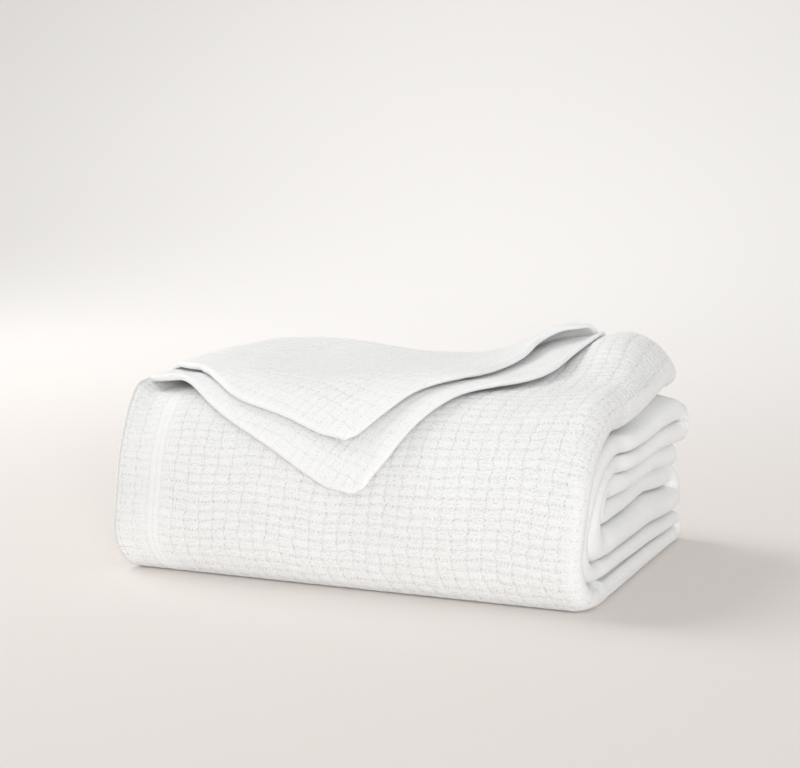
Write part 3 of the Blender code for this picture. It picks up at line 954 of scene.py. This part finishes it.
def crochet(name):
    """White cotton crochet: thin wavy lines between columns of cells, short strokes of yarn where
    rows meet, small dashes and dots, and a fuzz of fibres over it all. They bump the surface,
    and in its colour the hollows and specks are painted shade and the fibres' glints painted
    highlights."""
    material = bpy.data.materials.new(name)
    material.use_nodes = True
    tree = material.node_tree
    shader = tree.nodes["Principled BSDF"]
    uv = tree.nodes.new("ShaderNodeUVMap")
    uv.uv_map = "cells"
    split = tree.nodes.new("ShaderNodeSeparateXYZ")
    tree.links.new(uv.outputs[0], split.inputs[0])
    u, v = Maths(tree, split.outputs[0]), Maths(tree, split.outputs[1])
    crisp, from_hem = attribute(tree, "crisp"), attribute(tree, "from_hem")
    coords = tree.nodes.new("ShaderNodeTexCoord")
    # The stitches wander a little
    stray = noise(tree, uv.outputs[0], 1.6, 3.0, 0.6) - 0.5
    stray_2 = noise(tree, joined(tree, v + 31.7, u), 1.9, 3.0, 0.6) - 0.5
    u, v = u + stray * 0.24, v + stray_2 * 0.28
    patch = noise(tree, uv.outputs[0], 0.55, 2.0, 0.5)
    # A noise that breaks up the column lines and strokes, with their painted shade
    line_breakup = noise(tree, uv.outputs[0], 3.7, 2.0, 0.6)
    cell = chance(tree, u.floor(), v.floor())
    column = u.from_line().within(0.075) * (line_breakup * 2.6 - 0.75).made("MAXIMUM", 0.0)
    near_row = v.from_line().within(0.26)
    stroke_at = u * 4.0 + v * 0.9 + chance(tree, u.floor(), (v + 0.5).floor()) * 0.9 + stray * 1.6
    strokes = stroke_at.from_line().within(0.24) * near_row ** 0.6
    strokes = strokes * (line_breakup * 2.4 - 0.5).made("MAXIMUM", 0.1)
    corner = u.from_line().within(0.11) * v.from_line().within(0.15) * cell
    dash_row = (v + 0.5 + (cell - 0.5) * 0.24).from_line().within(0.085)
    dash = dash_row * (u + 0.5).from_line().within(0.34) * (cell - 0.35).made("GREATER_THAN", 0.0)
    # Frizzy fibres, most of them where the stitches meet: in the colour their dark specks are
    # painted shade and their glints painted highlights
    close = u.from_line().within(0.26).made("MAXIMUM", v.from_line().within(0.36)) * 0.62 + 0.38
    frizz = noise(tree, joined(tree, u * 1.45, v), 6.4, 2.5, 0.65)
    specks = ((frizz - 0.53) * 7.0).made("ADD", 0.0, clamp=True) * close
    glints = (frizz * -7.0 + 3.2).made("ADD", 0.0, clamp=True) * close
    fuzz = noise(tree, coords.outputs["Object"], 1300.0, 2.0, 0.6)
    # The hollows between the stitches and the fibres' specks: they sink the bump, and darken the
    # colour as painted shade
    lines = column * 0.45 + strokes * 0.70 + corner * 0.40 + dash * 0.60 + specks * 1.10
    height = glints * crisp * 0.5 + fuzz * 0.35 + frizz * 0.5 - lines * crisp
    bumped = tree.nodes.new("ShaderNodeBump")
    bumped.inputs["Strength"].default_value = 0.55
    bumped.inputs["Distance"].default_value = 0.0006
    tree.links.new(height.socket, bumped.inputs["Height"])
    tree.links.new(bumped.outputs[0], shader.inputs["Normal"])
    # The rib's three dotted lines beside the hem: painted shade in the grooves beside its cords
    rib_groove_shade = None
    for place, half_wide in RIB_GROOVE_SHADE:
        rib = (from_hem - (RIB_AT + place)).abs().within(half_wide)
        rib_groove_shade = rib if rib_groove_shade is None else rib_groove_shade + rib
    rib_groove_shade = rib_groove_shade * ((v * 1.9).from_line().within(0.42) * 0.7 + 0.3)
    # The colour's darkness: painted shade in the stitches' hollows and the rib's grooves,
    # lightened by painted glints on the fibres, plus a random tone
    shade_glints_and_tone = lines * crisp * 0.30 + rib_groove_shade * 0.11 - glints * (crisp * 0.20 + 0.02)
    shade_glints_and_tone = shade_glints_and_tone + patch * 0.08 + 0.06
    # The ramp runs from the cotton's white to the grey of its painted shade
    ramp = tree.nodes.new("ShaderNodeValToRGB")
    ramp.color_ramp.elements[0].position = 0.0
    ramp.color_ramp.elements[0].color = (0.930, 0.940, 0.940, 1)
    ramp.color_ramp.elements[1].position = 0.62
    ramp.color_ramp.elements[1].color = (0.50, 0.50, 0.49, 1)
    tree.links.new(shade_glints_and_tone.socket, ramp.inputs["Fac"])
    tree.links.new(ramp.outputs["Color"], shader.inputs["Base Color"])
    shader.inputs["Subsurface Weight"].default_value = 0.25
    shader.inputs["Subsurface Radius"].default_value = (1.0, 1.0, 1.0)
    shader.inputs["Subsurface Scale"].default_value = 0.006
    shader.inputs["Roughness"].default_value = 0.92
    shader.inputs["Specular IOR Level"].default_value = 0.2
    shader.inputs["Sheen Weight"].default_value = 0.10
    shader.inputs["Sheen Roughness"].default_value = 0.5
    return material


# ---- The stage, lights and camera ----
def backdrop_material():
    """Warm pale grey floor that turns into a bright wall further back: the wall's lighter colour
    is painted light.
    """
    material = bpy.data.materials.new("stage_pale")
    material.use_nodes = True
    tree = material.node_tree
    shader = tree.nodes["Principled BSDF"]
    shader.inputs["Roughness"].default_value = 0.95
    shader.inputs["Specular IOR Level"].default_value = 0.1
    coords = tree.nodes.new("ShaderNodeTexCoord")
    split = tree.nodes.new("ShaderNodeSeparateXYZ")
    tree.links.new(coords.outputs["Object"], split.inputs[0])
    # The colour lightens from the floor in front to the wall further back, as painted light
    back = tree.nodes.new("ShaderNodeMapRange")
    back.interpolation_type = "SMOOTHSTEP"
    for i, value in enumerate((-0.15, 1.3, 0.0, 1.0), 1):
        back.inputs[i].default_value = value
    tree.links.new(split.outputs[1], back.inputs[0])
    ramp = tree.nodes.new("ShaderNodeValToRGB")
    ramp.color_ramp.elements[0].color = FLOOR_COLOUR
    ramp.color_ramp.elements[1].color = WALL_PAINTED_LIGHT_COLOUR
    tree.links.new(back.outputs[0], ramp.inputs["Fac"])
    tree.links.new(ramp.outputs["Color"], shader.inputs["Base Color"])
    return material


def stage():
    """A pale floor that curves up into a pale wall."""
    mesh = bpy.data.meshes.new("floor")
    rows = [(FLOOR_NEAR, 0.0), (CURVE_AT, 0.0)]
    for angle in np.linspace(0.04, math.pi / 2, 30):
        y = CURVE_AT + CURVE_RADIUS * math.sin(angle)
        rows.append((y, CURVE_RADIUS - CURVE_RADIUS * math.cos(angle)))
    rows.append((CURVE_AT + CURVE_RADIUS, WALL_TOP))
    verts = [(x, y, z) for y, z in rows for x in (-FLOOR_HALF_WIDE, FLOOR_HALF_WIDE)]
    faces = [(2 * i, 2 * i + 1, 2 * i + 3, 2 * i + 2) for i in range(len(rows) - 1)]
    mesh.from_pydata(verts, [], faces)
    mesh.shade_smooth()
    mesh.materials.append(backdrop_material())
    floor = bpy.data.objects.new("floor", mesh)
    bpy.context.scene.collection.objects.link(floor)


def area_light(lamp):
    data = bpy.data.lights.new(lamp.name, "AREA")
    data.shape = "DISK"
    data.size = lamp.size
    data.energy = lamp.power
    data.spread = math.radians(lamp.spread)
    light = bpy.data.objects.new(lamp.name, data)
    light.location = lamp.place
    way = Vector(lamp.target) - Vector(lamp.place)
    light.rotation_euler = way.to_track_quat("-Z", "Y").to_euler()
    bpy.context.scene.collection.objects.link(light)


def lights():
    world = bpy.data.worlds.new("studio")
    world.use_nodes = True
    back = world.node_tree.nodes["Background"]
    back.inputs[0].default_value = (1.0, 0.99, 0.98, 1)
    back.inputs[1].default_value = WORLD_POWER
    bpy.context.scene.world = world
    for lamp in LAMPS:
        area_light(lamp)


def camera():
    data = bpy.data.cameras.new("camera")
    data.lens = 90.0
    data.sensor_width = 36.0
    data.clip_start = 0.01
    eye = bpy.data.objects.new("camera", data)
    level = math.cos(CAMERA_ABOVE)
    left, back = -math.sin(CAMERA_ROUND) * level, math.cos(CAMERA_ROUND) * level
    way = Vector((left, back, -math.sin(CAMERA_ABOVE)))
    eye.location = CAMERA_AT
    eye.rotation_euler = way.to_track_quat("-Z", "Y").to_euler()
    bpy.context.scene.collection.objects.link(eye)
    bpy.context.scene.camera = eye


bpy.context.scene.view_settings.view_transform = "Standard"
camera()
stage()
lights()
cotton = crochet("cotton_crochet")
panel = front_panel(cotton)
lower = flap("lower", cotton)
upper = flap("upper", cotton)
layers = [hidden_layers(outer_route(), "dLcIb"), hidden_layers(inner_route(), "aOdLcIb")]
body = sheet("folded_layers", layers, cotton)
for piece in (body, panel, lower, upper):
    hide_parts("blanket")
